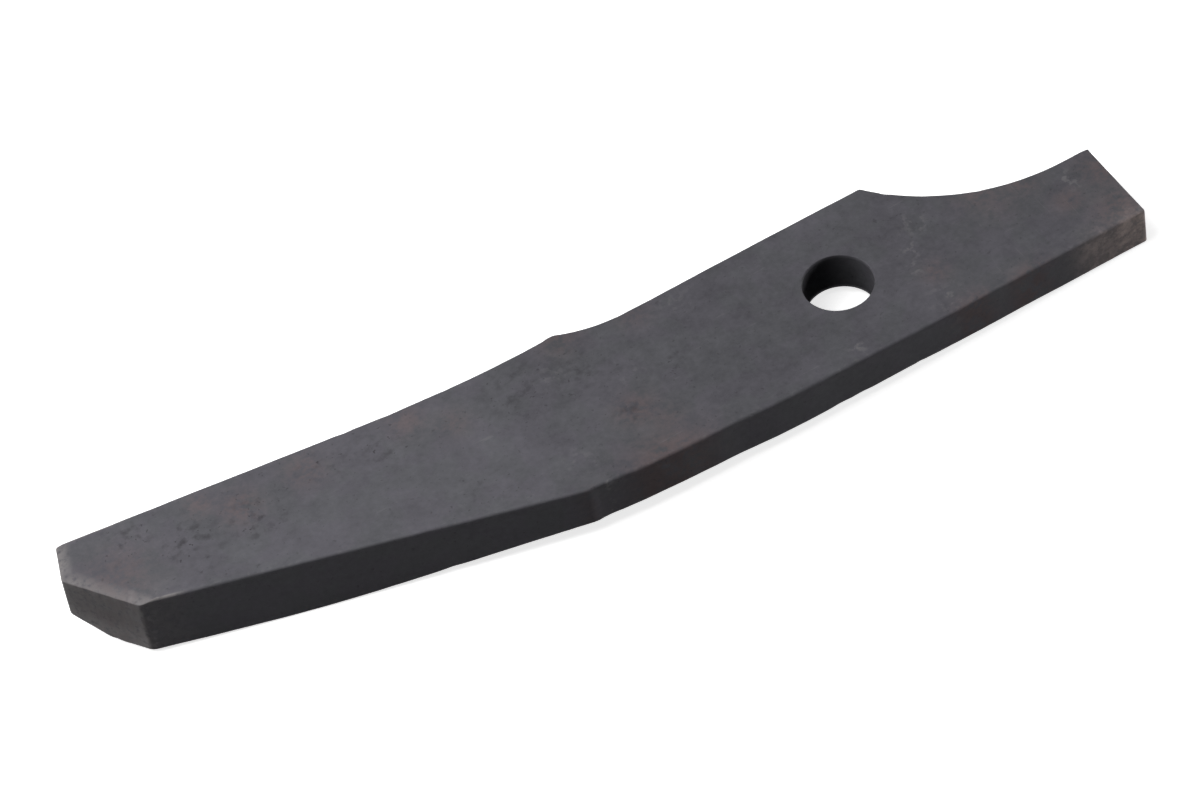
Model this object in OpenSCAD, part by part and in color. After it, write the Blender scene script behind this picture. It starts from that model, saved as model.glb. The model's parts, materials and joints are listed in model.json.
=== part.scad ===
// Power harrow tine, forged in one piece from flat bar.
// The origin is on the axis of the bolt hole, in the plane of the head's underside.
// +X runs to the end of the tongue, -X to the tip, -Y is the leading side and +Z is up.
// All sizes are in millimetres.

/* [Head] */
// Thickness of the flat bar that the tine is forged from
bar_t = 15; // [12:0.5:18]
// Bolt hole to the end of the tongue
head_end = 93; // [86:0.5:110]
// Bolt hole to the trailing edge of the head
back_w = 29.5; // [24:0.5:34]
// Bolt hole to the leading edge of the head
front_w = 31.5; // [26:0.5:38]
// Radius of the bowed stretch of the leading edge
bow_r = 1600; // [1200:50:4000]
// Bolt hole to the point, on the tongue side, where the bow starts
bow_start = 30; // [0:1:50]
// Diameter of the hole for the holding bolt
hole_d = 22.5; // [16:0.5:28]

/* [Tongue] */
// Trailing edge of the tongue, measured sideways from the bolt hole axis
tongue_back = 0.5; // [-4:0.5:6]
// Straight length of the tongue's trailing edge
tongue_flat = 8.5; // [4:0.5:16]
// Radius of the hollow between the head and the tongue
hollow_r = 73; // [60:1:90]

/* [Blade outline] */
// Bolt hole to the shoulder, where the leading edge turns back
shoulder_x = 105; // [95:1:120]
// Length of the straight leading edge from the shoulder to the tip
blade_len = 140; // [125:1:165]
// Angle of the leading edge to the head
lead_angle = 17.8; // [14:0.2:21]
// Angle of the trailing edge to the head
trail_angle = 7.9; // [5:0.1:10]
// Bolt hole to the corner of the step on the trailing edge
step_x = 82; // [74:1:90]
// Height of that step above the trailing edge of the head
step_h = 5; // [2:0.5:7]
// Radius of the hollow that rises to the step
step_r = 52; // [30:1:80]
// Bolt hole to the place where the trailing edge turns outward
flare_x = 120; // [115:1:135]
// Radius of that turn
flare_r = 400; // [200:10:450]

/* [Tip] */
// Length of the slanting cut at the leading corner
cut_len = 27.2; // [18:0.1:30]
// Turn from the leading edge into that cut, in degrees
cut_turn = 38.4; // [32:0.2:48]
// Turn from that cut into the short cut at the trailing corner, in degrees
heel_turn = 53.4; // [44:0.2:58]
// Width of the worn bevel on top of both cuts
tip_bevel_w = 4; // [1:0.5:6]
// Depth of that bevel
tip_bevel_d = 1; // [0.4:0.1:2]
// Radius under the slanting cut
under_r = 2; // [1:0.5:6]

/* [Blade section] */
// Extra depth of the blade below the underside of the head
blade_drop = 8.6; // [4:0.1:10]
// Length over which the underside sinks to that depth
sink_len = 130; // [100:1:135]
// How far on the head's side of the shoulder it starts to sink
sink_start = 27; // [10:1:40]
// Thickness left at the trailing edge, by the tip
trail_t = 10; // [8:0.5:12]
// Slope of the bevel under the trailing edge, in degrees
bevel_angle = 28; // [24:1:36]
// Radius that blends that bevel into the underside
bevel_r = 14; // [6:1:20]

/* [Edges] */
// Radius of the forged edges
edge_r = 1.2; // [0.4:0.1:2]
// Depth of the 45 degree flat on the lower leading edge of the blade
lower_c = 0.6; // [0.4:0.1:2]
// Bolt hole to where the round under the leading edge of the head starts to run out
run_out_x = 8; // [0:0.5:10]

/* [Hidden] */
$fn = 180;
// how far a cutter reaches past the body
over = 40;
// how far an edge cutter runs on past a corner
run_on = 3;
// arcs are drawn this much wider than the ones that touch the lines they run into, so that
// arc and line always cross; the crossing lies bite_run(r) from the point where they touch
bite = 0.02;
function bite_run(r) = sqrt(2 * r * bite);
// flats along the curve of the underside
sink_steps = 24;
// length of the flats that stand for a wide arc
flat_len = 3.5;
// flats round the small circle of an edge section
edge_fn = 48;

// the shoulder lies where the bow has drawn the leading edge in
bow_run = bow_start + shoulder_x;
bow_rise = bow_r - sqrt(pow(bow_r + bite, 2) - bow_run * bow_run);
shoulder = [-shoulder_x, bow_rise - front_w];
lead_foot = shoulder + bow_rise * [1 / tan(lead_angle), -1];

// the lower round of the bow follows a chord, past whose end the bow draws away from it
run_out_rise = bow_r - sqrt(pow(bow_r + bite, 2) - pow(bow_start + run_out_x, 2));
run_out = [-run_out_x, run_out_rise - front_w];

// the leading corner of the tip, and the far end of the slanting cut
cut_dir = 180 - lead_angle - cut_turn;
toe = shoulder + blade_len * [-cos(lead_angle), sin(lead_angle)];
nose = toe + cut_len * [cos(cut_dir), sin(cut_dir)];

// the step on the trailing edge, and the turn beyond it
step_top = [-step_x, back_w + step_h];
step_foot = [sqrt(step_r * step_r - pow(step_r - step_h, 2)) - step_x, back_w];
flare_t = flare_r * tan(trail_angle / 2);
flare_foot = [flare_t - flare_x, step_top.y];
flare_top = step_top.y * [0, 1] + [-flare_x, 0] + flare_t * [-cos(trail_angle), sin(trail_angle)];

// the short cut runs from the nose until it meets the trailing edge
heel_dir = cut_dir - heel_turn;
heel_gap = step_top.y - nose.y - (flare_x + nose.x) * tan(trail_angle);
heel_len = heel_gap / (sin(heel_dir) + cos(heel_dir) * tan(trail_angle));
heel = nose + heel_len * [cos(heel_dir), sin(heel_dir)];

// the hollow ends on the trailing edge of the head
tongue_foot = [head_end - tongue_flat, tongue_back];
hollow_rise = back_w - tongue_back;
hollow_run = sqrt(hollow_r * hollow_r - pow(hollow_r - hollow_rise, 2));
hollow_top = [tongue_foot.x - hollow_run, back_w];

// the bevel under the trailing edge fades out from the tip to the step
trail_line = heel - step_top;
fade_rise = bar_t - trail_t;
fade_angle = atan(fade_rise / norm(trail_line));
bevel_fall = fade_rise + blade_drop;
bevel_t = bevel_r * tan(bevel_angle / 2);
bevel_foot = bevel_fall / tan(bevel_angle) + bevel_t;

// Number of flats that stand for a full circle of a wide arc
function arc_fn(r) = 4 * ceil(PI * r / 2 / flat_len);

// Outline of the whole tine, with its curved stretches as true arcs
module outline() {
    intersection() {
        difference() {
            polygon([
                [head_end, -front_w], [head_end, tongue_back],
                tongue_foot, [tongue_foot.x, back_w],
                step_foot, [step_foot.x, step_top.y],
                flare_foot, flare_foot + [0, step_h],
                flare_top + step_h * [sin(trail_angle), cos(trail_angle)], flare_top,
                heel, nose, toe, lead_foot
            ]);
            translate(tongue_foot + [0, hollow_r])
                circle(r = hollow_r + bite);
            translate(step_foot + [0, step_r])
                circle(r = step_r + bite);
            translate(flare_foot + [0, flare_r])
                circle(r = flare_r + bite, $fn = arc_fn(flare_r));
        }
        bow_side();
    }
}

// Everything behind the leading edge, bowed up to bow_start and straight from there
module bow_side() {
    translate([bow_start, bow_r - front_w])
        circle(r = bow_r + bite, $fn = arc_fn(bow_r));
    translate([bow_start, -front_w - over])
        square([head_end, front_w + back_w + 2 * over]);
}

// Places a cutter along the way from p to q, with the body on the left of that way
module along(p, q) {
    translate(p)
        rotate(atan2(q.y - p.y, q.x - p.x))
            children();
}

// Extrudes a section, drawn across the way and up, along +X for a length
module sweep_x(length) {
    rotate([90, 0, 90])
        linear_extrude(length)
            children();
}

// Section that rounds an edge at the origin, with the body to the right and below
module edge_section(r) {
    difference() {
        translate([-run_on, -r])
            square([run_on + r, r + run_on]);
        translate([r, -r])
            circle(r = r + bite, $fn = edge_fn);
    }
}

// Rounds the straight upper edge from p to q, run on before p and after q
module straight_round(p, q, before = run_on, after = run_on, r = edge_r) {
    along(p, q)
        translate([-before, 0, 0])
            sweep_x(before + norm(q - p) + after)
                edge_section(r);
}

// Rounds the upper edge of a hollow of radius r, which turns from its lowest point by an angle;
// it runs on past its crossings with the straight edges, which end where they touch the arc
module hollow_round(foot, r, turn) {
    past = (run_on + bite_run(r)) / r * 180 / PI;
    translate(foot + [0, r])
        rotate(270 - turn - past)
            rotate_extrude(angle = turn + 2 * past, $fn = arc_fn(r))
                translate([r + bite, 0])
                    edge_section(edge_r);
}

// Rounds the upper edge of the bow as far back as a distance from the bolt hole
module bow_round(back) {
    turn = asin((bow_start + back) / bow_r);
    translate([bow_start, bow_r - front_w])
        rotate(270 - turn)
            rotate_extrude(angle = turn, $fn = arc_fn(bow_r))
                translate([bow_r + bite, 0])
                    mirror([1, 0])
                        edge_section(edge_r);
}

// The edges of the head and tongue, from the end of the bow round to the foot of the step
module head_rounds() {
    straight_round([bow_start, -front_w], [head_end, -front_w], run_on + bite_run(bow_r));
    straight_round([head_end, -front_w], [head_end, tongue_back]);
    straight_round([head_end, tongue_back], tongue_foot, after = 0);
    hollow_round(tongue_foot, hollow_r, asin(hollow_run / hollow_r));
    straight_round(hollow_top, step_foot, after = 0);
}

// The upper edges of the blade; its two tip cuts have a worn bevel instead
module blade_rounds() {
    hollow_round(step_foot, step_r, asin((step_foot.x - step_top.x) / step_r));
    straight_round(toe, shoulder);
    straight_round(step_top, flare_foot, after = 0);
    hollow_round(flare_foot, flare_r, trail_angle);
    straight_round(flare_top, heel, before = 0);
}

// Worn bevel on top of a tip cut that runs from p to q
module tip_bevel(p, q) {
    slope = tip_bevel_d / tip_bevel_w;
    along(p, q)
        translate([-over, 0, 0])
            sweep_x(norm(q - p) + 2 * over)
                polygon([
                    [-run_on, -tip_bevel_d - run_on * slope],
                    [tip_bevel_w, 0],
                    [tip_bevel_w, run_on],
                    [-run_on, run_on]
                ]);
}

// Depth of the underside at a share t of the way along its cosine curve
function sunk(t) = -blade_drop * (1 - cos(180 * t)) / 2;

// The underside seen along the leading edge, with the shoulder at the origin, raised by an
// amount and filled up to a height, with the heights of the underside drawn to a scale
module side_view(height, raised = 0, up_s = 1) {
    reach = shoulder_x + head_end + over;
    polygon([
        [-blade_len - over, height],
        [-blade_len - over, (raised - blade_drop) * up_s],
        for (i = [sink_steps:-1:0])
            let (t = i / sink_steps)
                [sink_start - t * sink_len, (raised + sunk(t)) * up_s],
        [reach, raised * up_s],
        [reach, height]
    ]);
}

// Runs a side view across the blade, tilted down towards the trailing side
module run_across(tilt) {
    width = front_w + back_w + step_h;
    translate(shoulder)
        rotate(-lead_angle)
            rotate([90 - tilt, 0, 0])
                linear_extrude(2 * (width + over), center = true)
                    children();
}

// What lies above a 45 degree flat on the lower leading edge of the blade
module lower_flat() {
    run_across(45)
        side_view(bar_t + front_w + back_w + over, lower_c, cos(45));
}

// The flat bar as forged: the underside leaves the head's plane before the shoulder and sinks
// along its curve, square to the blade's leading edge, whose lower edge is broken at 45 degrees
module blank() {
    intersection() {
        translate([0, 0, -blade_drop - over])
            linear_extrude(bar_t + blade_drop + 2 * over)
                outline();
        run_across(0)
            side_view(bar_t);
        lower_flat();
    }
}

// Bevel under the trailing edge of the blade, deepest at the tip and gone at the step
module trailing_bevel() {
    along(step_top, heel)
        rotate([0, -fade_angle, 0])
            translate([-over, 0, 0])
                sweep_x(norm(trail_line) + 2 * over)
                    bevel_section();
}

// Section of what that bevel takes away, seen from the step
module bevel_section() {
    top = [bevel_foot - bevel_t * (1 + cos(bevel_angle)), bevel_t * sin(bevel_angle) - bevel_fall];
    difference() {
        polygon([
            [-over, over * tan(bevel_angle)], top,
            top + bevel_t * [sin(bevel_angle), cos(bevel_angle)] / 2,
            [bevel_foot, bevel_t / 2 - bevel_fall],
            [bevel_foot, -bevel_fall - over],
            [-over, -bevel_fall - over]
        ]);
        translate([bevel_foot, bevel_r - bevel_fall])
            circle(r = bevel_r + bite);
    }
}

// The forging, with the bevel under its trailing edge and the round under its slanting cut
module forging() {
    difference() {
        blank();
        trailing_bevel();
        translate([0, 0, -blade_drop])
            mirror([0, 0, 1])
                straight_round(nose, toe, over, over, under_r);
    }
}

module tine() {
    color("dimgray")
        difference() {
            forging();
            translate([0, 0, bar_t]) {
                head_rounds();
                bow_round(shoulder_x + run_on);
                blade_rounds();
                tip_bevel(heel, nose);
                tip_bevel(nose, toe);
            }
            mirror([0, 0, 1]) {
                head_rounds();
                straight_round(run_out, [bow_start, -front_w], before = 2 * over);
            }
            translate([0, 0, -over])
                cylinder(d = hole_d, h = bar_t + 2 * over);
        }
}

tine();
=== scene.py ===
"""Looks of a power harrow tine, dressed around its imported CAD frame.

The tine is one forging, so there is one piece. Its outline, faces and bolt hole are
read from the frame, and a finer mesh with worn edges, dents and a burr is laid over
them. Lengths are in metres, in the frame's own axes: +X to the tongue, +Z up.
"""

import json
import logging
import math
from collections.abc import Mapping, Sequence
from dataclasses import dataclass, field
from enum import Enum
from typing import Any, Union

import bmesh
import bpy
import numpy as np
from mathutils import Matrix, Vector, geometry, noise
from mathutils.bvhtree import BVHTree

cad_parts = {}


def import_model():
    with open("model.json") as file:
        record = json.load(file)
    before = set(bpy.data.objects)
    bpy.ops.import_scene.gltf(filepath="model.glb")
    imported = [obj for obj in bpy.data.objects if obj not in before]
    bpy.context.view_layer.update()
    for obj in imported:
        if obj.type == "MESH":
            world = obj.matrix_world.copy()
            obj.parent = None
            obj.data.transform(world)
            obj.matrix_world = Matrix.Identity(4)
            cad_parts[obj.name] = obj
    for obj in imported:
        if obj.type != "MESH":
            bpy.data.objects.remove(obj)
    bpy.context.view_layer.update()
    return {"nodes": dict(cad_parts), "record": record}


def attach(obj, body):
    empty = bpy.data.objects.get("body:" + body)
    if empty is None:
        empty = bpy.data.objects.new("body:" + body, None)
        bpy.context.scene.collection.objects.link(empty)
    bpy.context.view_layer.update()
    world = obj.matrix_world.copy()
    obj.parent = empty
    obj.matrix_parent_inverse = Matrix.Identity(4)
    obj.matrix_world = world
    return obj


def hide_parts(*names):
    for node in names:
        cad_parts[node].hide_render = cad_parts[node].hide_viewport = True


LOG = logging.getLogger("tine")
MM = 0.001

Number = Union[int, float]
Row = tuple[float, ...]
Colour = tuple[float, float, float]


# Shader maths


class Wire:
    """A shader socket that takes part in ordinary arithmetic."""

    def __init__(self, graph: "Graph", socket: bpy.types.NodeSocket) -> None:
        """Wraps a socket.

        Args:
            graph: The graph that the socket's node is in.
            socket: The output socket.
        """
        self.graph = graph
        self.socket = socket

    def maths(self, operation: str, *operands: "Operand") -> "Wire":
        """Applies a Math node to this socket.

        Args:
            operation: Blender's name of the operation.
            operands: The operation's other inputs.

        Returns:
            The node's output.
        """
        return self.graph.maths(operation, self, *operands)

    def __add__(self, other: "Operand") -> "Wire":
        """Returns the sum."""
        return self.maths("ADD", other)

    def __sub__(self, other: "Operand") -> "Wire":
        """Returns the difference."""
        return self.maths("SUBTRACT", other)

    def __mul__(self, other: "Operand") -> "Wire":
        """Returns the product."""
        return self.maths("MULTIPLY", other)

    def __truediv__(self, other: "Operand") -> "Wire":
        """Returns the quotient."""
        return self.maths("DIVIDE", other)

    def __pow__(self, other: "Operand") -> "Wire":
        """Returns the power."""
        return self.maths("POWER", other)

    def __radd__(self, other: Number) -> "Wire":
        """Returns the sum with a number in front."""
        return self.graph.maths("ADD", other, self)

    def __rsub__(self, other: Number) -> "Wire":
        """Returns the difference from a number in front."""
        return self.graph.maths("SUBTRACT", other, self)

    def __rmul__(self, other: Number) -> "Wire":
        """Returns the product with a number in front."""
        return self.graph.maths("MULTIPLY", other, self)

    def __rtruediv__(self, other: Number) -> "Wire":
        """Returns a number divided by this socket."""
        return self.graph.maths("DIVIDE", other, self)

    def __neg__(self) -> "Wire":
        """Returns the negative."""
        return self.graph.maths("MULTIPLY", self, -1.0)

    def step(self, low: Number, high: Number) -> "Wire":
        """Runs smoothly from 0 at low to 1 at high, or down where low is the larger.

        Args:
            low: The value that gives 0.
            high: The value that gives 1.

        Returns:
            The smooth step.
        """
        turned = low > high
        ends = (high, low) if turned else (low, high)
        share = self.graph.node(
            "ShaderNodeMapRange",
            {"interpolation_type": "SMOOTHSTEP"},
            {"Value": self, "From Min": ends[0], "From Max": ends[1]},
        )
        return 1.0 - share if turned else share


Operand = Union[Wire, int, float]
Feed = Union[Wire, int, float, Sequence[float]]


class Graph:
    """Makes and links the nodes of one material."""

    def __init__(self, tree: bpy.types.NodeTree) -> None:
        """Starts from an empty tree.

        Args:
            tree: The node tree to fill.
        """
        self.tree = tree
        tree.nodes.clear()

    def node(
        self,
        kind: str,
        settings: Mapping[str, Any] | None = None,
        inputs: Mapping[str | int, Feed] | None = None,
        output: str | int = 0,
    ) -> Wire:
        """Adds a node, sets it up and feeds it.

        Args:
            kind: The node's type.
            settings: Attributes of the node, set before its sockets are used.
            inputs: Values or wires by the input's name or number.
            output: Name or number of the output to return.

        Returns:
            That output.
        """
        made = self.tree.nodes.new(kind)
        for name, setting in (settings or {}).items():
            setattr(made, name, setting)
        for key, feed in (inputs or {}).items():
            if isinstance(feed, Wire):
                self.tree.links.new(feed.socket, made.inputs[key])
            else:
                made.inputs[key].default_value = feed
        return Wire(self, made.outputs[output])

    def maths(self, operation: str, *operands: Operand) -> Wire:
        """Adds a Math node.

        Args:
            operation: Blender's name of the operation.
            operands: Its inputs, in order.

        Returns:
            The node's output.
        """
        return self.node("ShaderNodeMath", {"operation": operation}, dict(enumerate(operands)))

    def place(self, stretch: Colour = (1.0, 1.0, 1.0), turn: Number = 0.0) -> Wire:
        """Gives the place on the object, in millimetres.

        Args:
            stretch: Factor on each axis, after the turn.
            turn: Angle about +Z, in degrees.

        Returns:
            The place as a vector.
        """
        here = self.node("ShaderNodeTexCoord", output="Object")
        return self.node(
            "ShaderNodeMapping",
            {"vector_type": "POINT"},
            {
                "Vector": here,
                "Rotation": (0.0, 0.0, math.radians(turn)),
                "Scale": tuple(s / MM for s in stretch),
            },
        )

    def axis(self, vector: Wire, name: str) -> Wire:
        """Returns the X, Y or Z of a vector."""
        return self.node("ShaderNodeSeparateXYZ", inputs={0: vector}, output=name)

    def grain(
        self, place: Wire, size: Number, detail: Number = 2.0, rough: Number = 0.5
    ) -> Wire:
        """Adds soft noise between 0 and 1.

        Args:
            place: Where to look, in millimetres.
            size: Width of the largest blotches, in millimetres.
            detail: Number of finer layers.
            rough: Strength of each finer layer.

        Returns:
            The noise.
        """
        return self.node(
            "ShaderNodeTexNoise",
            {"noise_dimensions": "3D"},
            {"Vector": place, "Scale": 1.0 / size, "Detail": detail, "Roughness": rough},
        )

    def cells(self, place: Wire, size: Number) -> Wire:
        """Adds the distance to the nearest of many scattered points, in cell widths.

        Args:
            place: Where to look, in millimetres.
            size: Mean distance between the points, in millimetres.

        Returns:
            The distance.
        """
        return self.node(
            "ShaderNodeTexVoronoi",
            {"feature": "F1"},
            {"Vector": place, "Scale": 1.0 / size, "Randomness": 1.0},
            "Distance",
        )

    def tint(self, share: Feed, first: Feed, second: Feed) -> Wire:
        """Mixes two colours.

        Args:
            share: How much of the second colour, from 0 to 1.
            first: The colour at 0.
            second: The colour at 1.

        Returns:
            The mixed colour.
        """
        feeds: dict[str | int, Feed] = {0: share}
        for number, feed in ((6, first), (7, second)):
            feeds[number] = feed if isinstance(feed, Wire) else (*feed, 1.0)
        return self.node("ShaderNodeMix", {"data_type": "RGBA"}, feeds, 2)

    def mark(self, name: str) -> Wire:
        """Reads a number that the mesh carries at each point."""
        return self.node("ShaderNodeAttribute", {"attribute_name": name}, output="Fac")

    def scaled(self, colour: Wire, factor: Operand) -> Wire:
        """Returns a colour made lighter or darker by a factor."""
        return self.node(
            "ShaderNodeVectorMath", {"operation": "SCALE"}, {0: colour, "Scale": factor}
        )

    def end(self, surface: Wire) -> None:
        """Links a shader to the material's output."""
        out = self.tree.nodes.new("ShaderNodeOutputMaterial")
        self.tree.links.new(surface.socket, out.inputs["Surface"])


def new_graph(name: str) -> tuple[bpy.types.Material, Graph]:
    """Makes an empty material.

    Args:
        name: The material's name.

    Returns:
        The material and its graph.
    """
    material = bpy.data.materials.new(name)
    material.use_nodes = True
    return material, Graph(material.node_tree)


# Finishes


@dataclass(frozen=True)
class ForgedSteel:
    """Dull forge scale on steel, with pits, brown stains, chips, scratches and rubbed cuts.

    The mesh carries marks from 0 to 1: worn (near an edge), ground_and_sheen (the cut faces of
    the tip, and its bevels, whose paler colour is a painted highlight), flank (the upright
    sides), bored (the wall of the bolt hole, darkened as painted shade), and brown, rusted,
    chipped and pitted (the patches).
    """

    violet: Colour = (0.0975, 0.0945, 0.1078)
    olive: Colour = (0.0952, 0.0950, 0.1048)
    brown: Colour = (0.1170, 0.0960, 0.1000)
    pale: Colour = (0.168, 0.164, 0.170)
    rust: Colour = (0.440, 0.368, 0.352)
    # pale metal of the cut faces at the tip, and a painted highlight on the tip's bevels
    ground_and_sheen: Colour = (0.186, 0.176, 0.178)
    pit: Colour = (0.040, 0.038, 0.042)
    cloud_gain: float = 0.4
    mottle_gain: float = 0.5
    fine_gain: float = 0.38
    grit_gain: float = 0.1
    streak_gain: float = 0.9
    # painted light: how much paler the blade is made towards the tip
    painted_tip_light: float = 0.19
    foot_gain: float = 0.0
    rim_shade: float = 0.5
    # painted shade: tone left on the wall of the bolt hole
    bore_shade_tone: float = 0.6
    roughness: float = 0.6
    shine: float = 0.1
    bump_strength: float = 0.4
    bump_depth: float = 0.25 * MM

    def material(self, name: str) -> bpy.types.Material:
        """Builds the material.

        Args:
            name: The material's name.

        Returns:
            The material.
        """
        material, g = new_graph(name)
        here = g.place()
        marks = {mark: g.mark(mark.value) for mark in Mark}
        mottle = g.grain(here, 6.0, 3.0, 0.55)
        fine = g.grain(here, 1.9, 3.0, 0.6)
        grit = g.grain(here, 0.55, 1.0, 0.5)

        tone = 1.0 + self.cloud_gain * (g.grain(here, 32.0, 3.0, 0.5) - 0.5)
        tone = tone + self.mottle_gain * (mottle - 0.5)
        tone = tone + self.fine_gain * (fine - 0.5) + self.grit_gain * (grit - 0.5)

        # the cut faces of the tip are streaked from top to bottom
        cut = marks[Mark.GROUND] * marks[Mark.FLANK]
        streaks = g.grain(g.place((1.0, 1.0, 0.2)), 2.8, 3.0, 0.6)
        tone = tone + self.streak_gain * cut * (streaks - 0.5)
        rim = g.axis(here, "Z").step(-8.0, 6.0)
        tone = tone * (1.0 + cut * (self.foot_gain - self.rim_shade * rim))

        # painted light: the blade is made paler than the bar towards the tip, where the light
        # falls stronger
        length = g.axis(here, "X")
        tone = tone + self.painted_tip_light * length.step(-80.0, -130.0)

        hue = g.grain(g.place((1.0, 1.0, 1.0), 40.0), 11.0, 2.0, 0.5).step(0.42, 0.58)
        colour = g.tint(hue, self.violet, self.olive)
        # paler on the cut faces of the tip; on the bevels this paler colour is a painted
        # highlight
        ground_and_sheen = marks[Mark.GROUND] * fine.step(0.2, 0.55)
        colour = g.tint(ground_and_sheen, colour, self.ground_and_sheen)
        stain = marks[Mark.BROWN] * (0.5 * mottle + 0.5 * fine).step(0.38, 0.56)
        colour = g.tint(stain, colour, self.brown)
        bloom = marks[Mark.RUSTED] * (0.45 + 0.55 * (0.5 * mottle + 0.5 * fine).step(0.4, 0.6))
        bloom = bloom * (0.25 + 0.75 * marks[Mark.FLANK])
        colour = g.tint(bloom, colour, self.rust)

        # chips show where the scale has flaked off, in patches and here and there on edges
        flake = g.grain(here, 2.4, 2.0, 0.55)
        chips = (marks[Mark.CHIPPED] * flake.step(0.5, 0.66)).maths(
            "MAXIMUM", 0.4 * marks[Mark.WORN] * flake.step(0.56, 0.7)
        )
        scratch = self.scratches(g, mottle, length)
        bare = (chips + 0.3 * scratch).maths("MINIMUM", 1.0)
        colour = g.tint(0.65 * bare, colour, self.pale)

        blotch = g.grain(here, 3.6, 3.0, 0.55)
        speck = g.grain(here, 1.3, 1.0, 0.5)
        pits = marks[Mark.PITTED] * blotch.step(0.46, 0.78)
        pits = pits.maths("MAXIMUM", (0.35 + 0.65 * marks[Mark.PITTED]) * speck.step(0.67, 0.79))
        # painted shade: the wall of the bolt hole is made darker, as the recess lies in shade
        tone = tone * (1.0 - (1.0 - self.bore_shade_tone) * marks[Mark.BORED])
        colour = g.scaled(g.tint(0.85 * pits, colour, self.pit), tone)

        rough = self.roughness + 0.2 * (mottle - 0.5) + 0.12 * stain - 0.1 * bare + 0.1 * pits
        rough = rough.maths("MAXIMUM", marks[Mark.BORED])
        height = 0.5 * mottle + 0.45 * fine + 0.1 * grit - 0.5 * pits - 0.25 * bare
        bumped = g.node(
            "ShaderNodeBump",
            inputs={
                "Height": height + 0.5 * cut * streaks,
                "Strength": self.bump_strength,
                "Distance": self.bump_depth,
            },
        )
        g.end(
            g.node(
                "ShaderNodeBsdfPrincipled",
                inputs={
                    "Base Color": colour,
                    "Roughness": rough,
                    "Specular IOR Level": self.shine,
                    "Normal": bumped,
                },
            )
        )
        return material

    @staticmethod
    def scratches(g: Graph, mottle: Wire, length: Wire) -> Wire:
        """Draws short scratches, along the blade and across the head.

        Args:
            g: The graph.
            mottle: Soft noise that breaks the scratches up.
            length: The place along the tine, in millimetres.

        Returns:
            1 on a scratch.
        """
        along = g.grain(g.place((0.06, 1.0, 1.0), -12.0), 0.9, 2.0, 0.5)
        across = g.grain(g.place((1.0, 0.07, 1.0), 34.0), 0.9, 2.0, 0.5)
        head = length.step(10.0, 50.0)
        drawn = along.step(0.66, 0.74) * mottle.step(0.5, 0.6)
        return drawn + head * across.step(0.67, 0.75)


@dataclass(frozen=True)
class PaleFloor:
    """A plain pale floor that the camera sees as white but for the shadow."""

    seen_tone: Colour = (0.8, 0.8, 0.8)
    bounce_tone: Colour = (0.05, 0.05, 0.05)
    seen_lift: float = 0.75

    def material(self, name: str) -> bpy.types.Material:
        """Builds the material.

        Args:
            name: The material's name.

        Returns:
            The material.
        """
        material, g = new_graph(name)
        plain, dim = (
            g.node("ShaderNodeBsdfDiffuse", inputs={"Color": (*tone, 1.0)})
            for tone in (self.seen_tone, self.bounce_tone)
        )
        glow = g.node(
            "ShaderNodeEmission",
            inputs={"Color": (1.0, 1.0, 1.0, 1.0), "Strength": self.seen_lift},
        )
        both = g.node("ShaderNodeAddShader", inputs={0: plain, 1: glow})
        seen = g.node("ShaderNodeLightPath", output="Is Camera Ray")
        for ray in ("Is Glossy Ray", "Is Transmission Ray"):
            seen = seen.maths("MAXIMUM", g.node("ShaderNodeLightPath", output=ray))
        g.end(g.node("ShaderNodeMixShader", inputs={0: seen, 1: dim, 2: both}))
        return material


# Geometry


class Mark(Enum):
    """Numbers that the mesh carries for its finish."""

    WORN = "worn"
    GROUND = "ground_and_sheen"
    FLANK = "flank"
    BROWN = "brown"
    RUSTED = "rusted"
    CHIPPED = "chipped"
    PITTED = "pitted"
    BORED = "bored"


def relax(points: np.ndarray, rounds: int, share: float = 0.5) -> np.ndarray:
    """Draws each point of a closed line towards the middle of its neighbours.

    Args:
        points: The points, one in a row.
        rounds: How often.
        share: How far each time.

    Returns:
        The smoothed points.
    """
    for _ in range(rounds):
        middle = (np.roll(points, 1, axis=0) + np.roll(points, -1, axis=0)) / 2
        points = points + share * (middle - points)
    return points


def relax_open(points: np.ndarray, rounds: int, share: float = 0.5) -> np.ndarray:
    """Smooths an open line whose two ends stay.

    Args:
        points: The points, one in a row.
        rounds: How often.
        share: How far each time.

    Returns:
        The smoothed points.
    """
    points = points.copy()
    for _ in range(rounds):
        middle = (points[:-2] + points[2:]) / 2
        points[1:-1] += share * (middle - points[1:-1])
    return points


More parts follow.
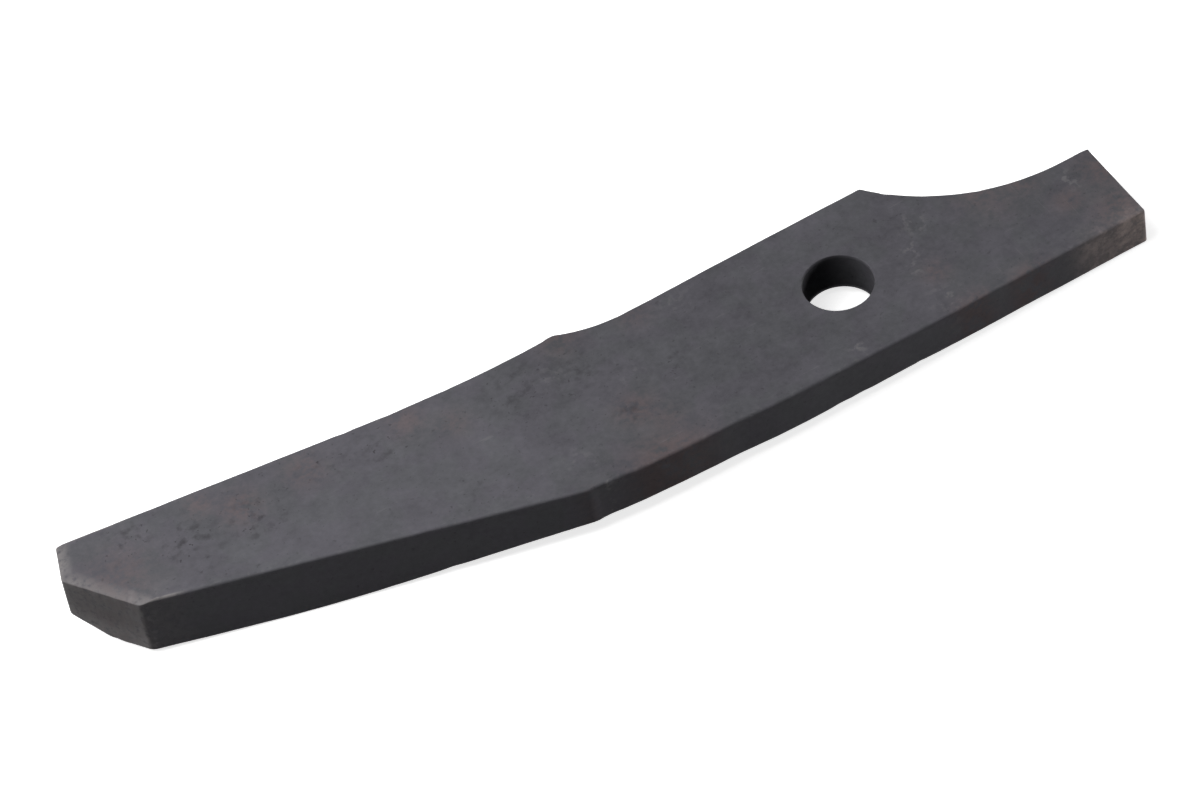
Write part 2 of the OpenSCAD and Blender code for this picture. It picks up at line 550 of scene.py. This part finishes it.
@dataclass
class Loop:
    """A closed line in the XY plane, with the metal on its left, and its corners' numbers."""

    points: np.ndarray
    corners: tuple[int, ...] = ()

    @classmethod
    def traced(cls, raw: np.ndarray, step: float, corner: float, rounds: int) -> "Loop":
        """Makes an even, smooth loop of a coarse one, and keeps its corners.

        Args:
            raw: The coarse points, in order.
            step: Distance between the new points.
            corner: Turn, in degrees, from which a point is a corner.
            rounds: Smoothing of the stretches between the corners.

        Returns:
            The loop.
        """
        if cls(raw).area() < 0:
            raw = raw[::-1]
        before = raw - np.roll(raw, 1, axis=0)
        after = np.roll(raw, -1, axis=0) - raw
        cross = before[:, 0] * after[:, 1] - before[:, 1] * after[:, 0]
        turn = np.degrees(np.arctan2(cross, (before * after).sum(axis=1)))
        corners = np.flatnonzero(np.abs(turn) > corner)
        raw = np.roll(raw, -corners[0], axis=0)
        corners = np.append(corners - corners[0], len(raw))
        closed = np.vstack([raw, raw[:1]])
        runs: list[np.ndarray] = []
        for first, last in zip(corners[:-1], corners[1:]):
            run = closed[first : last + 1]
            along = np.append(0, np.cumsum(np.linalg.norm(np.diff(run, axis=0), axis=1)))
            places = np.linspace(0, along[-1], max(2, round(along[-1] / step)) + 1)
            even = np.stack([np.interp(places, along, run[:, k]) for k in (0, 1)], axis=1)
            runs.append(relax_open(even, rounds)[:-1])
        starts = np.cumsum([0] + [len(run) for run in runs[:-1]])
        return cls(np.vstack(runs), tuple(int(start) for start in starts))

    @classmethod
    def circle(cls, centre: Vector, radius: float, count: int) -> "Loop":
        """Makes the edge of a round hole, with the metal outside it.

        Args:
            centre: The hole's centre.
            radius: The hole's radius.
            count: Number of points.

        Returns:
            The loop.
        """
        angle = -np.linspace(0, 2 * math.pi, count, endpoint=False)
        return cls(
            np.stack([centre.x + radius * np.cos(angle), centre.y + radius * np.sin(angle)], 1)
        )

    def area(self) -> float:
        """Returns the area inside, which is negative for a clockwise loop."""
        x, y = self.points.T
        return 0.5 * float(np.sum(x * np.roll(y, -1) - y * np.roll(x, -1)))

    def along(self) -> np.ndarray:
        """Returns the direction of the line at each point."""
        along = np.roll(self.points, -1, axis=0) - np.roll(self.points, 1, axis=0)
        return along / np.linalg.norm(along, axis=1, keepdims=True)

    def inward(self) -> np.ndarray:
        """Returns the direction into the metal at each point."""
        along = self.along()
        return np.stack([-along[:, 1], along[:, 0]], axis=1)

    def inset(self, depth: np.ndarray, reach: float = 6 * MM) -> "Loop":
        """Moves the loop into the metal, with mitred corners.

        Args:
            depth: How far, at each point.
            reach: Length beside a corner on which the points make room for the mitre.

        Returns:
            The new loop.
        """
        along = self.along()
        moved = self.points + self.inward() * depth[:, None]
        count = len(self.points)
        for corner, ahead in zip(self.corners, (*self.corners[1:], count)):
            behind = self.corners[self.corners.index(corner) - 1] % count
            for way, length in ((1, ahead - corner), (-1, (corner - behind) % count)):
                run = (corner + way * np.arange(1, max(2, length // 2))) % count
                legs = np.linalg.norm(self.points[run] - self.points[corner], axis=1)
                room = np.clip(1 - legs / min(reach, legs[-1] + MM), 0, 1)
                slide = depth[run] * math.tan(self.turn(corner) / 2) * room
                moved[run] += way * along[run] * slide[:, None]
            mitre = 1 / math.cos(self.turn(corner) / 2)
            moved[corner] += self.inward()[corner] * depth[corner] * (mitre - 1)
        return Loop(moved, self.corners)

    def turn(self, corner: int) -> float:
        """Returns how far the line turns towards the metal at a corner, in radians."""
        here = self.points[corner]
        before = here - self.points[corner - 2]
        after = self.points[(corner + 2) % len(self.points)] - here
        cross = before[0] * after[1] - before[1] * after[0]
        return math.atan2(cross, float(before @ after))

    def softened(self, rounds: int) -> "Loop":
        """Returns the loop with worn corners."""
        return Loop(relax(self.points, rounds), self.corners)


class Probe:
    """Feels the upper and lower faces of the CAD solid."""

    def __init__(self, mesh: bpy.types.Mesh) -> None:
        """Builds the search tree.

        Args:
            mesh: The CAD solid's mesh.
        """
        self.bm = bmesh.new()
        self.bm.from_mesh(mesh)
        bmesh.ops.remove_doubles(self.bm, verts=self.bm.verts[:], dist=0.001 * MM)
        self.tree = BVHTree.FromBMesh(self.bm)
        heights = [v.co.z for v in self.bm.verts]
        self.low, self.high = min(heights), max(heights)

    def section(self, height: float) -> list[np.ndarray]:
        """Cuts the solid level.

        Args:
            height: The cut's height.

        Returns:
            The closed lines of the cut, the longest first.
        """
        cut = self.bm.copy()
        made = bmesh.ops.bisect_plane(
            cut,
            geom=cut.verts[:] + cut.edges[:] + cut.faces[:],
            plane_co=(0.0, 0.0, height),
            plane_no=(0.0, 0.0, 1.0),
        )["geom_cut"]
        edges = {e for e in made if isinstance(e, bmesh.types.BMEdge)}
        lines = []
        while edges:
            edge = edges.pop()
            here, start = edge.verts[1], edge.verts[0]
            line = [start, here]
            while here != start:
                ahead = next(e for e in here.link_edges if e in edges)
                edges.remove(ahead)
                here = ahead.other_vert(here)
                line.append(here)
            lines.append(np.array([v.co.xy[:] for v in line[:-1]]))
        cut.free()
        return sorted(lines, key=len, reverse=True)

    def heights(self, points: np.ndarray, upper: bool) -> np.ndarray:
        """Feels one face under or over each point.

        Args:
            points: Points in the XY plane.
            upper: Whether to feel the upper face.

        Returns:
            The face's height at each point, or not-a-number beside the solid.
        """
        start, way = (self.high, -1.0) if upper else (self.low, 1.0)
        ray = Vector((0.0, 0.0, way))
        found = []
        for x, y in points:
            hit = self.tree.ray_cast(Vector((x, y, start - way * MM)), ray)[0]
            found.append(math.nan if hit is None else hit.z)
        return np.array(found)

    def slope(self, loop: Loop, upper: bool, near: float, far: float, brink: float) -> "Slope":
        """Feels how a face runs towards an edge, and how round the edge is.

        Args:
            loop: The edge.
            upper: Whether to feel the upper face.
            near: Depth of the first place felt on the face.
            far: Depth of the second.
            brink: Depth of the place felt on the edge's round.

        Returns:
            The face's height at the edge, its rise per metre of depth and the edge's radius.
        """
        into = loop.inward()
        felt = [self.heights(loop.points + into * depth, upper) for depth in (near, far, brink)]
        good = np.isfinite(felt).all(axis=0)
        spots = np.arange(len(good))
        first, second, lip = (np.interp(spots, spots[good], row[good]) for row in felt)
        rise = (second - first) / (far - near)
        edge = first - rise * near
        gap = np.abs(edge + rise * brink - lip)
        radius = gap + brink + np.sqrt(2 * gap * brink) if brink else np.zeros(len(edge))
        smooth = relax(np.stack([edge, rise, radius - brink], axis=1), 3)
        return Slope(*smooth.T)


@dataclass
class Slope:
    """How a face of the solid runs inward from an edge, and the edge's radius."""

    edge: np.ndarray
    rise: np.ndarray
    radius: np.ndarray

    def at(self, depth: np.ndarray) -> np.ndarray:
        """Returns the face's height at a depth from the edge."""
        return self.edge + self.rise * depth


@dataclass
class Shell:
    """The points, faces and marks of one closed mesh, as they are added."""

    points: list[tuple[float, float, float]] = field(default_factory=list)
    faces: list[tuple[int, ...]] = field(default_factory=list)
    worn: list[float] = field(default_factory=list)
    bored: list[bool] = field(default_factory=list)

    def ring(self, loop: Loop, heights: np.ndarray, worn: np.ndarray | float) -> np.ndarray:
        """Adds a closed line of points.

        Args:
            loop: Where they lie.
            heights: Their heights.
            worn: How near each is to a rubbed edge.

        Returns:
            The points' numbers.
        """
        first = len(self.points)
        count = len(loop.points)
        self.points += [(x, y, z) for (x, y), z in zip(loop.points, heights)]
        self.worn += list(np.broadcast_to(worn, count))
        self.bored += [not loop.corners and bool(np.all(worn == 0))] * count
        return np.arange(first, first + count)

    def join(self, upper: np.ndarray, lower: np.ndarray) -> None:
        """Fills the band between two rings.

        Args:
            upper: Numbers of the one ring's points.
            lower: Numbers of the other's, as many.
        """
        ends = zip(upper, lower, np.roll(lower, -1), np.roll(upper, -1))
        self.faces += [tuple(int(n) for n in corners) for corners in ends]

    def cap(self, outer: np.ndarray, hole: np.ndarray, inner: np.ndarray) -> None:
        """Fills a face between its outer ring and the hole's, through points between them.

        Args:
            outer: Numbers of the outer ring's points.
            hole: Numbers of the hole's ring.
            inner: Numbers of the points between.
        """
        numbers = [int(n) for n in (*outer, *hole, *inner)]
        flat = [Vector(self.points[n][:2]) for n in numbers]
        sides = []
        for first, count in ((0, len(outer)), (len(outer), len(hole))):
            sides += [(first + k, first + (k + 1) % count) for k in range(count)]
        made = geometry.delaunay_2d_cdt(flat, sides, [], 1, 1e-9)
        hole_flat = np.array([flat[k][:] for k in range(len(outer), len(outer) + len(hole))])
        centre = hole_flat.mean(axis=0)
        radius = np.linalg.norm(hole_flat - centre, axis=1).min()
        places, triangles, origins = made[0], made[2], made[3]
        for triangle in triangles:
            middle = np.mean([places[k][:] for k in triangle], axis=0)
            if np.linalg.norm(middle - centre) > radius:
                self.faces.append(tuple(numbers[origins[k][0]] for k in triangle))

    def mesh(self, name: str) -> bpy.types.Mesh:
        """Makes a mesh of what was added, with its faces turned outward."""
        made = bpy.data.meshes.new(name)
        made.from_pydata(self.points, [], self.faces)
        bm = bmesh.new()
        bm.from_mesh(made)
        bmesh.ops.recalc_face_normals(bm, faces=bm.faces[:])
        bm.to_mesh(made)
        bm.free()
        return made


@dataclass(frozen=True)
class Dent:
    """A shallow round hollow, or a bump where its depth is negative."""

    place: Vector
    radius: float
    depth: float


@dataclass(frozen=True)
class Patch:
    """A soft round patch of one mark, seen from above; its place and radius are in mm."""

    kind: Mark
    x: float
    y: float
    radius: float
    strength: float = 1.0

    def amount(self, places: np.ndarray) -> np.ndarray:
        """Returns how strong the patch is at each place."""
        gap = np.hypot(places[:, 0] / MM - self.x, places[:, 1] / MM - self.y) / self.radius
        return np.minimum(self.strength * np.exp(-1.2 * gap**2), 1)


@dataclass(frozen=True)
class Bulge:
    """How far one long side stands out, in mm, at places along the tine."""

    leading: bool
    places: Row
    ways: Row

    def amount(self, edge: Loop) -> np.ndarray:
        """Returns the way outward at each point of the tine's outline."""
        x, y = edge.points.T
        ways = np.interp(x / MM, self.places, self.ways) * MM
        return np.where((y < 0) == self.leading, ways, 0.0)


# the hammer has drawn the shoulder in and swollen the side behind it
SHOULDER_BULGE = Bulge(
    leading=True,
    places=(-112, -107, -102, -97, -88, -74, -55, -42, -32, -20),
    ways=(0, -0.1, -0.35, -0.1, 0.35, 0.4, 0.05, 0.35, 0.3, 0),
)
# the tongue has spread a little towards its end
TONGUE_BULGE = Bulge(leading=False, places=(50, 72, 90, 93), ways=(0, 0.5, 0.6, 0.3))

# the scale is brown at the end of the tongue, by the step and in spots along the blade
BROWN_PATCHES = (
    Patch(Mark.BROWN, 93, -9, 9),
    Patch(Mark.BROWN, 88, -27, 10),
    Patch(Mark.BROWN, 76, -14, 6, 0.8),
    Patch(Mark.BROWN, 57, 1, 9, 0.5),
    Patch(Mark.BROWN, 27, -14, 5, 0.8),
    Patch(Mark.BROWN, -58, 27, 6, 0.6),
    Patch(Mark.BROWN, -82, 32, 7, 0.8),
    Patch(Mark.BROWN, -77, -7, 7),
    Patch(Mark.BROWN, -72, -16, 7, 0.6),
    Patch(Mark.BROWN, -78, -35, 14, 2),
    Patch(Mark.BROWN, -107, -31, 5, 2),
    Patch(Mark.BROWN, 30, -38, 8, 2.5),
    Patch(Mark.BROWN, 50, -38, 8, 2.5),
    Patch(Mark.BROWN, 55, 6, 8, 0.8),
    Patch(Mark.BROWN, 68, 2, 7, 0.8),
    Patch(Mark.BROWN, -126, 22, 6, 0.6),
    Patch(Mark.BROWN, -137, 31, 6, 0.8),
    Patch(Mark.BROWN, -172, 33, 7, 0.8),
    Patch(Mark.BROWN, -195, 32, 7),
    Patch(Mark.BROWN, -205, 40, 5, 0.8),
    Patch(Mark.BROWN, -238, 30, 12, 0.7),
)
# the corner of the tongue that stood out of the holder has a bloom of rust
RUSTED_PATCHES = (
    Patch(Mark.RUSTED, 88, -38, 9, 2.2),
    Patch(Mark.RUSTED, 76, -38, 8, 1.8),
    Patch(Mark.RUSTED, 94, -25, 5, 0.3),
)
# the holder has rubbed a line across the head beyond the bolt hole
CHIPPED_PATCHES = (
    Patch(Mark.CHIPPED, 32, 7, 5),
    Patch(Mark.CHIPPED, 26, -2, 4),
    Patch(Mark.CHIPPED, 23, -9, 3.5),
    Patch(Mark.CHIPPED, 24, -25, 6, 0.8),
    Patch(Mark.CHIPPED, 81, -7, 4.5, 1.2),
    Patch(Mark.CHIPPED, -98.5, -26.4, 1.2, 1.5),
    Patch(Mark.CHIPPED, 90, -31, 5, 0.8),
    Patch(Mark.CHIPPED, -9, -26, 3),
    Patch(Mark.CHIPPED, -45, 24, 6, 0.5),
    Patch(Mark.CHIPPED, -71, 6, 5, 0.5),
    Patch(Mark.CHIPPED, -91, 21, 6, 0.5),
    Patch(Mark.CHIPPED, -102, -14, 6, 0.5),
    Patch(Mark.CHIPPED, -237, 18, 5),
)
# scale rolled into the face has left pits, most of them near the tip
PITTED_PATCHES = (
    Patch(Mark.PITTED, -229, 40, 9),
    Patch(Mark.PITTED, -214, 29, 11),
    Patch(Mark.PITTED, -193, 25, 10),
    Patch(Mark.PITTED, -212, 20, 6, 0.8),
    Patch(Mark.PITTED, -166, 32, 8, 0.8),
    Patch(Mark.PITTED, -147, 27, 10, 0.8),
    Patch(Mark.PITTED, -104, 22, 13, 0.7),
    Patch(Mark.PITTED, -83, 18, 10, 0.7),
    Patch(Mark.PITTED, -57, 3, 6, 0.8),
    Patch(Mark.PITTED, -80, -6, 5, 0.8),
    Patch(Mark.PITTED, -130, -8, 14, 0.4),
)


@dataclass
class Tine:
    """The forging: one closed skin over the CAD solid, with worn edges and forging marks."""

    step: float = 0.75 * MM
    wall_rings: int = 12
    round_rings: int = 5
    edge_near: float = 1.8 * MM
    edge_far: float = 3.6 * MM
    edge_brink: float = 0.15 * MM
    edge_r_least: float = 0.35 * MM
    edge_r_most: float = 1.4 * MM
    edge_spread: float = 0.2
    hole_points: int = 128
    corner_turn: float = 9.0
    arc_rounds: int = 24
    corner_rounds: int = 1
    upper_grid: float = 1.2 * MM
    lower_grid: float = 1.7 * MM
    wave: float = 0.10 * MM
    ripple: float = 0.035 * MM
    dents: int = 70
    burr: Dent = Dent(Vector((-0.0985, -0.0262, 0.0148)), 1.4 * MM, -0.8 * MM)
    seed: int = 7
    tip_length: float = 30 * MM
    bulges: tuple[Bulge, ...] = (SHOULDER_BULGE, TONGUE_BULGE)
    patches: tuple[Patch, ...] = (
        BROWN_PATCHES + RUSTED_PATCHES + CHIPPED_PATCHES + PITTED_PATCHES
    )
    finish: ForgedSteel = field(default_factory=ForgedSteel)

    def build(self, node: bpy.types.Object, bore: Mapping[str, Any]) -> bpy.types.Object:
        """Builds and dresses the piece.

        Args:
            node: The CAD node that it replaces.
            bore: The record's mount for the bolt hole.

        Returns:
            The piece.
        """
        probe = Probe(node.data)
        level = bore["pos_m"][2] + bore["dims"]["length_mm"] * MM / 2
        raw = probe.section(level)[0]
        edge = Loop.traced(raw, self.step, self.corner_turn, self.arc_rounds)
        edge = edge.softened(self.corner_rounds)
        centre = Vector(bore["pos_m"])
        radius = bore["dims"]["r_mm"] * MM
        hole = Loop.circle(centre, radius, self.hole_points)

        shell = Shell()
        upper, lower = (self.band(shell, probe, edge, is_upper) for is_upper in (True, False))
        self.wall(shell, edge, upper[0], lower[0], self.wall_rings)
        hole_upper, hole_lower = (
            self.band(shell, probe, hole, is_upper) for is_upper in (True, False)
        )
        self.wall(shell, hole, hole_upper[0], hole_lower[0], self.wall_rings)
        for outer, inner, is_upper, grid in (
            (upper[-1], hole_upper[-1], True, self.upper_grid),
            (lower[-1], hole_lower[-1], False, self.lower_grid),
        ):
            between = self.field_points(shell, probe, outer, inner, is_upper, grid)
            shell.cap(outer, inner, between)

        mesh = shell.mesh("tine_skin")
        self.forge(mesh)
        self.mark(mesh, shell)
        mesh.shade_smooth()
        mesh.materials.append(self.finish.material("forged_steel"))
        piece = bpy.data.objects.new("tine_skin", mesh)
        bpy.context.scene.collection.objects.link(piece)
        return piece

    def edge_radii(self, edge: Loop, felt: np.ndarray) -> np.ndarray:
        """Lets the radius that was felt wander a little, as forged and worn.

        Args:
            edge: The edge's line.
            felt: The radius of the CAD solid's edge at each point.

        Returns:
            The radius to build at each point.
        """
        wander = [
            noise.noise(Vector((x / (14 * MM), y / (14 * MM), self.seed)))
            for x, y in edge.points
        ]
        radii = np.clip(felt, self.edge_r_least, self.edge_r_most)
        return radii * (1 + self.edge_spread * np.array(wander))

    def bulge(self, edge: Loop) -> np.ndarray:
        """Tells how far a wall stands out, which is nothing in the hole.

        Args:
            edge: The wall's line.

        Returns:
            The way outward at each point.
        """
        if not edge.corners:
            return np.zeros(len(edge.points))
        return sum(bulge.amount(edge) for bulge in self.bulges)

    def band(self, shell: Shell, probe: Probe, edge: Loop, upper: bool) -> list[np.ndarray]:
        """Adds the rings that round an edge, from the wall to the face.

        Args:
            shell: The mesh so far.
            probe: Feels the solid.
            edge: The edge's line on the wall.
            upper: Whether this is an upper edge.

        Returns:
            The rings, the wall's first.
        """
        side = 1.0 if upper else -1.0
        slope = probe.slope(edge, upper, self.edge_near, self.edge_far, self.edge_brink)
        radii = self.edge_radii(edge, slope.radius)
        bulge = self.bulge(edge)
        rings = []
        for k in range(self.round_rings + 1):
            angle = math.pi / 2 * k / self.round_rings
            depth = radii * (1 - math.cos(angle)) - bulge
            drop = radii * (1 - math.sin(angle))
            line = edge.inset(depth)
            rubbed = math.sin(angle) ** 2 if k < self.round_rings else 0.75
            rings.append(shell.ring(line, slope.at(depth) - side * drop, 0.25 + 0.75 * rubbed))
        depth = radii + self.step - bulge
        rings.append(shell.ring(edge.inset(depth), slope.at(depth), 0.3))
        for first, second in zip(rings[:-1], rings[1:]):
            shell.join(first, second)
        return rings

    def wall(
        self, shell: Shell, edge: Loop, top: np.ndarray, foot: np.ndarray, count: int
    ) -> None:
        """Fills an upright wall between the rounds above and below it.

        Args:
            shell: The mesh so far.
            edge: The wall's line.
            top: Numbers of the ring above.
            foot: Numbers of the ring below.
            count: Number of bands.
        """
        high = np.array([shell.points[n][2] for n in top])
        low = np.array([shell.points[n][2] for n in foot])
        line = edge.inset(-self.bulge(edge))
        last = top
        for k in range(1, count):
            ring = shell.ring(line, high + (low - high) * k / count, 0.0)
            shell.join(last, ring)
            last = ring
        shell.join(last, foot)

    def field_points(
        self,
        shell: Shell,
        probe: Probe,
        outer: np.ndarray,
        hole: np.ndarray,
        upper: bool,
        grid: float,
    ) -> np.ndarray:
        """Adds an even field of points to a face.

        Args:
            shell: The mesh so far.
            probe: Feels the solid.
            outer: Numbers of the ring round the face.
            hole: Numbers of the ring round its hole.
            upper: Whether this is the upper face.
            grid: Distance between the points.

        Returns:
            The numbers of the new points.
        """
        ring = np.array([shell.points[n][:2] for n in outer])
        rim = np.array([shell.points[n][:2] for n in hole])
        low, high = ring.min(axis=0), ring.max(axis=0)
        row = grid * math.sqrt(3) / 2
        places = [
            (x + (grid / 2 if k % 2 else 0.0), y)
            for k, y in enumerate(np.arange(low[1], high[1], row))
            for x in np.arange(low[0], high[0], grid)
        ]
        field_xy = np.array(places)
        field_xy = field_xy[self.inside(field_xy, ring)]
        centre = rim.mean(axis=0)
        clear = np.linalg.norm(rim - centre, axis=1).max() + 0.7 * grid
        field_xy = field_xy[np.linalg.norm(field_xy - centre, axis=1) > clear]
        gaps = np.min(
            [np.hypot(*(field_xy - point).T) for point in ring[:: max(1, len(ring) // 1500)]],
            axis=0,
        )
        field_xy = field_xy[gaps > 0.7 * grid]
        heights = probe.heights(field_xy, upper)
        keep = np.isfinite(heights)
        worn = 0.3 * np.exp(-gaps[gaps > 0.7 * grid] / (1.2 * MM))
        return shell.ring(Loop(field_xy[keep]), heights[keep], worn[keep])

    @staticmethod
    def inside(points: np.ndarray, ring: np.ndarray) -> np.ndarray:
        """Tells which points lie inside a closed line.

        Args:
            points: The points.
            ring: The line.

        Returns:
            True for each point inside.
        """
        found = np.zeros(len(points), bool)
        x, y = points.T
        for (ax, ay), (bx, by) in zip(ring, np.roll(ring, -1, axis=0)):
            if ay == by:
                continue
            spans = (ay > y) != (by > y)
            found ^= spans & (x < (bx - ax) * (y - ay) / (by - ay) + ax)
        return found

    def forge(self, mesh: bpy.types.Mesh) -> None:
        """Moves the skin in and out a little, as the hammer and the soil leave it."""
        rng = np.random.default_rng(self.seed)
        spots = rng.integers(0, len(mesh.vertices), self.dents)
        dents = [
            Dent(
                mesh.vertices[int(k)].co.copy(),
                float(rng.uniform(1.5, 4.5)) * MM,
                float(rng.uniform(0.05, 0.2)) * MM,
            )
            for k in spots
        ]
        dents.append(self.burr)
        normals = [n.vector.copy() for n in mesh.vertex_normals]
        for vertex, normal in zip(mesh.vertices, normals):
            here = vertex.co / MM
            shift = self.wave * noise.noise(here / 26) + self.ripple * noise.noise(here / 4.5)
            for dent in dents:
                gap = (vertex.co - dent.place).length / dent.radius
                if gap < 1:
                    shift -= dent.depth * (1 - gap * gap) ** 2
            vertex.co += normal * (shift - 0.5 * self.wave)

    def mark(self, mesh: bpy.types.Mesh, shell: Shell) -> None:
        """Writes the numbers that the finish reads.

        Args:
            mesh: The skin.
            shell: The skin as it was added, with what is worn.
        """
        places = np.array([v.co[:] for v in mesh.vertices])
        normals = np.array([n.vector[:] for n in mesh.vertex_normals])
        to_tip = (places[:, 0] - places[:, 0].min()) / self.tip_length
        at_tip = np.clip(6 * (1 - to_tip), 0, 1)
        faces_tip = np.clip(-normals[:, 0] * 2.2 - 0.5, 0, 1)
        # painted highlight: upward faces at the tip that tilt from level (the bevels) take the
        # paler colour, more so near the edges
        bevel_sheen = np.clip((0.9995 - normals[:, 2]) / 0.03, 0, 1) * (normals[:, 2] > 0.5)
        bevel_sheen *= 0.5 + 0.5 * np.clip(np.array(shell.worn) / 0.3, 0, 1)
        marks = {
            Mark.WORN: np.array(shell.worn),
            Mark.GROUND: at_tip * np.maximum(faces_tip, bevel_sheen),
            Mark.FLANK: 1 - np.abs(normals[:, 2]),
            Mark.BORED: np.array(shell.bored, float),
        }
        for kind in (Mark.BROWN, Mark.RUSTED, Mark.CHIPPED, Mark.PITTED):
            amounts = [patch.amount(places) for patch in self.patches if patch.kind is kind]
            marks[kind] = np.max(amounts, axis=0)
        for kind, numbers in marks.items():
            layer = mesh.attributes.new(kind.value, "FLOAT", "POINT")
            layer.data.foreach_set("value", numbers.astype(np.float32))


# Camera and studio


@dataclass(frozen=True)
class PhotoCamera:
    """The photograph's camera, fitted to the round bolt hole and the bar's edges.

    The angles are in degrees; seen_at is where the hole's upper centre shows, in pixels.
    """

    azimuth: float = 22.923
    elevation: float = 49.29
    roll: float = -10.2
    distance: float = 1.8534
    focal: float = 6000.0
    frame: tuple[float, float] = (1200.0, 799.0)
    seen_at: tuple[float, float] = (838.05, 282.47)
    sensor: float = 36.0

    def place(self, target: Vector) -> bpy.types.Object:
        """Adds the camera so that it sees a point where the photograph has it.

        Args:
            target: The point.

        Returns:
            The camera.
        """
        azimuth, elevation, roll = map(
            math.radians, (self.azimuth, self.elevation, self.roll)
        )
        level = Vector((math.cos(azimuth), -math.sin(azimuth), 0.0))
        back = Vector(
            (
                -math.sin(azimuth) * math.cos(elevation),
                -math.cos(azimuth) * math.cos(elevation),
                math.sin(elevation),
            )
        )
        rising = back.cross(level)
        right = math.cos(roll) * level + math.sin(roll) * rising
        up = math.cos(roll) * rising - math.sin(roll) * level
        across = (self.seen_at[0] - self.frame[0] / 2) / self.focal * self.distance
        above = (self.frame[1] / 2 - self.seen_at[1]) / self.focal * self.distance
        spot = target - across * right - above * up + self.distance * back

        lens = bpy.data.cameras.new("photo_camera")
        lens.sensor_width = self.sensor
        lens.sensor_fit = "HORIZONTAL"
        lens.lens = self.focal / self.frame[0] * self.sensor
        lens.clip_end = 10.0
        camera = bpy.data.objects.new("photo_camera", lens)
        turn = Matrix((right, up, back)).transposed().to_4x4()
        camera.matrix_world = Matrix.Translation(spot) @ turn
        bpy.context.scene.collection.objects.link(camera)
        bpy.context.scene.camera = camera
        return camera


@dataclass(frozen=True)
class Softbox:
    """A square soft light that points at the tine; its place is in degrees and metres."""

    name: str
    azimuth: float
    elevation: float
    distance: float
    size: float
    power: float

    def place(self, target: Vector) -> None:
        """Hangs the light.

        Args:
            target: The point that it looks at.
        """
        lamp = bpy.data.lights.new(self.name, "AREA")
        lamp.shape = "SQUARE"
        lamp.size = self.size
        lamp.energy = self.power
        light = bpy.data.objects.new(self.name, lamp)
        azimuth, elevation = math.radians(self.azimuth), math.radians(self.elevation)
        way = Vector(
            (
                math.sin(azimuth) * math.cos(elevation),
                math.cos(azimuth) * math.cos(elevation),
                math.sin(elevation),
            )
        )
        light.location = target + self.distance * way
        light.rotation_euler = way.to_track_quat("Z", "Y").to_euler()
        bpy.context.scene.collection.objects.link(light)


@dataclass(frozen=True)
class Studio:
    """A pale floor under the resting tine, and soft light from above and both sides."""

    floor_size: float = 6.0
    gap: float = 0.05 * MM
    ambient: float = 0.02
    floor: PaleFloor = field(default_factory=PaleFloor)
    lights: tuple[Softbox, ...] = (
        Softbox("top_light", -66.0, 60.0, 1.5, 1.2, 23.0),
        Softbox("left_light", -70.0, 26.0, 1.4, 0.7, 4.0),
        Softbox("right_light", 107.0, 9.0, 1.4, 0.4, 9.0),
    )

    def build(self, piece: bpy.types.Object) -> None:
        """Sets the stage.

        Args:
            piece: What rests on the floor.
        """
        self.lay_floor(piece)
        world = bpy.data.worlds.new("studio")
        world.use_nodes = True
        background = world.node_tree.nodes["Background"]
        background.inputs["Color"].default_value = (1.0, 1.0, 1.0, 1.0)
        background.inputs["Strength"].default_value = self.ambient
        bpy.context.scene.world = world
        bpy.context.scene.view_settings.view_transform = "Standard"
        for light in self.lights:
            light.place(Vector((-0.08, 0.0, 0.0)))

    def lay_floor(self, piece: bpy.types.Object) -> None:
        """Lays the floor where the piece comes to rest on it.

        Args:
            piece: The piece.
        """
        bm = bmesh.new()
        bm.from_mesh(piece.data)
        middle = sum((v.co for v in bm.verts), Vector()) / len(bm.verts)
        hull = bmesh.ops.convex_hull(bm, input=bm.verts[:])["geom"]
        faces = [part for part in hull if isinstance(part, bmesh.types.BMFace)]
        faces = [face for face in faces if face.normal.z < -0.5]
        rest = min(faces, key=lambda f: self.miss(f, middle))
        normal = -rest.normal
        place = rest.calc_center_median() - normal * self.gap
        bm.free()

        half = self.floor_size / 2
        mesh = bpy.data.meshes.new("floor")
        corners = [(-half, -half, 0), (half, -half, 0), (half, half, 0), (-half, half, 0)]
        mesh.from_pydata(corners, [], [(0, 1, 2, 3)])
        mesh.materials.append(self.floor.material("pale_floor"))
        floor = bpy.data.objects.new("floor", mesh)
        turn = normal.to_track_quat("Z", "Y").to_matrix().to_4x4()
        floor.matrix_world = Matrix.Translation(place) @ turn
        bpy.context.scene.collection.objects.link(floor)
        LOG.info("floor tilted %.2f degrees", math.degrees(normal.angle(Vector((0, 0, 1)))))

    @staticmethod
    def miss(face: bmesh.types.BMFace, middle: Vector) -> float:
        """Tells how far the piece's middle hangs beside a face that it might rest on.

        Args:
            face: A face of the hull.
            middle: The piece's middle.

        Returns:
            The distance to the face, seen from above.
        """
        corners = [v.co.xy for v in face.verts]
        inside = geometry.intersect_point_tri_2d(middle.xy, *corners[:3])
        centre = sum(corners, Vector((0.0, 0.0))) / len(corners)
        return 0.0 if inside else (centre - middle.xy).length


def main() -> None:
    """Builds the piece, the stage and the camera."""
    logging.basicConfig(level=logging.INFO, format="%(message)s")
    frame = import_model()
    bore = next(m for m in frame["record"]["mounts"] if m["kind"] == "bore")
    node = frame["nodes"]["tine"]
    piece = Tine().build(node, bore)
    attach(piece, "root")
    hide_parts("tine")
    LOG.info("%s: %d faces", piece.name, len(piece.data.polygons))

    Studio().build(piece)
    top = Vector(bore["pos_m"]) + Vector((0.0, 0.0, bore["dims"]["length_mm"] * MM))
    PhotoCamera().place(top)


if __name__ == "__main__":
    main()
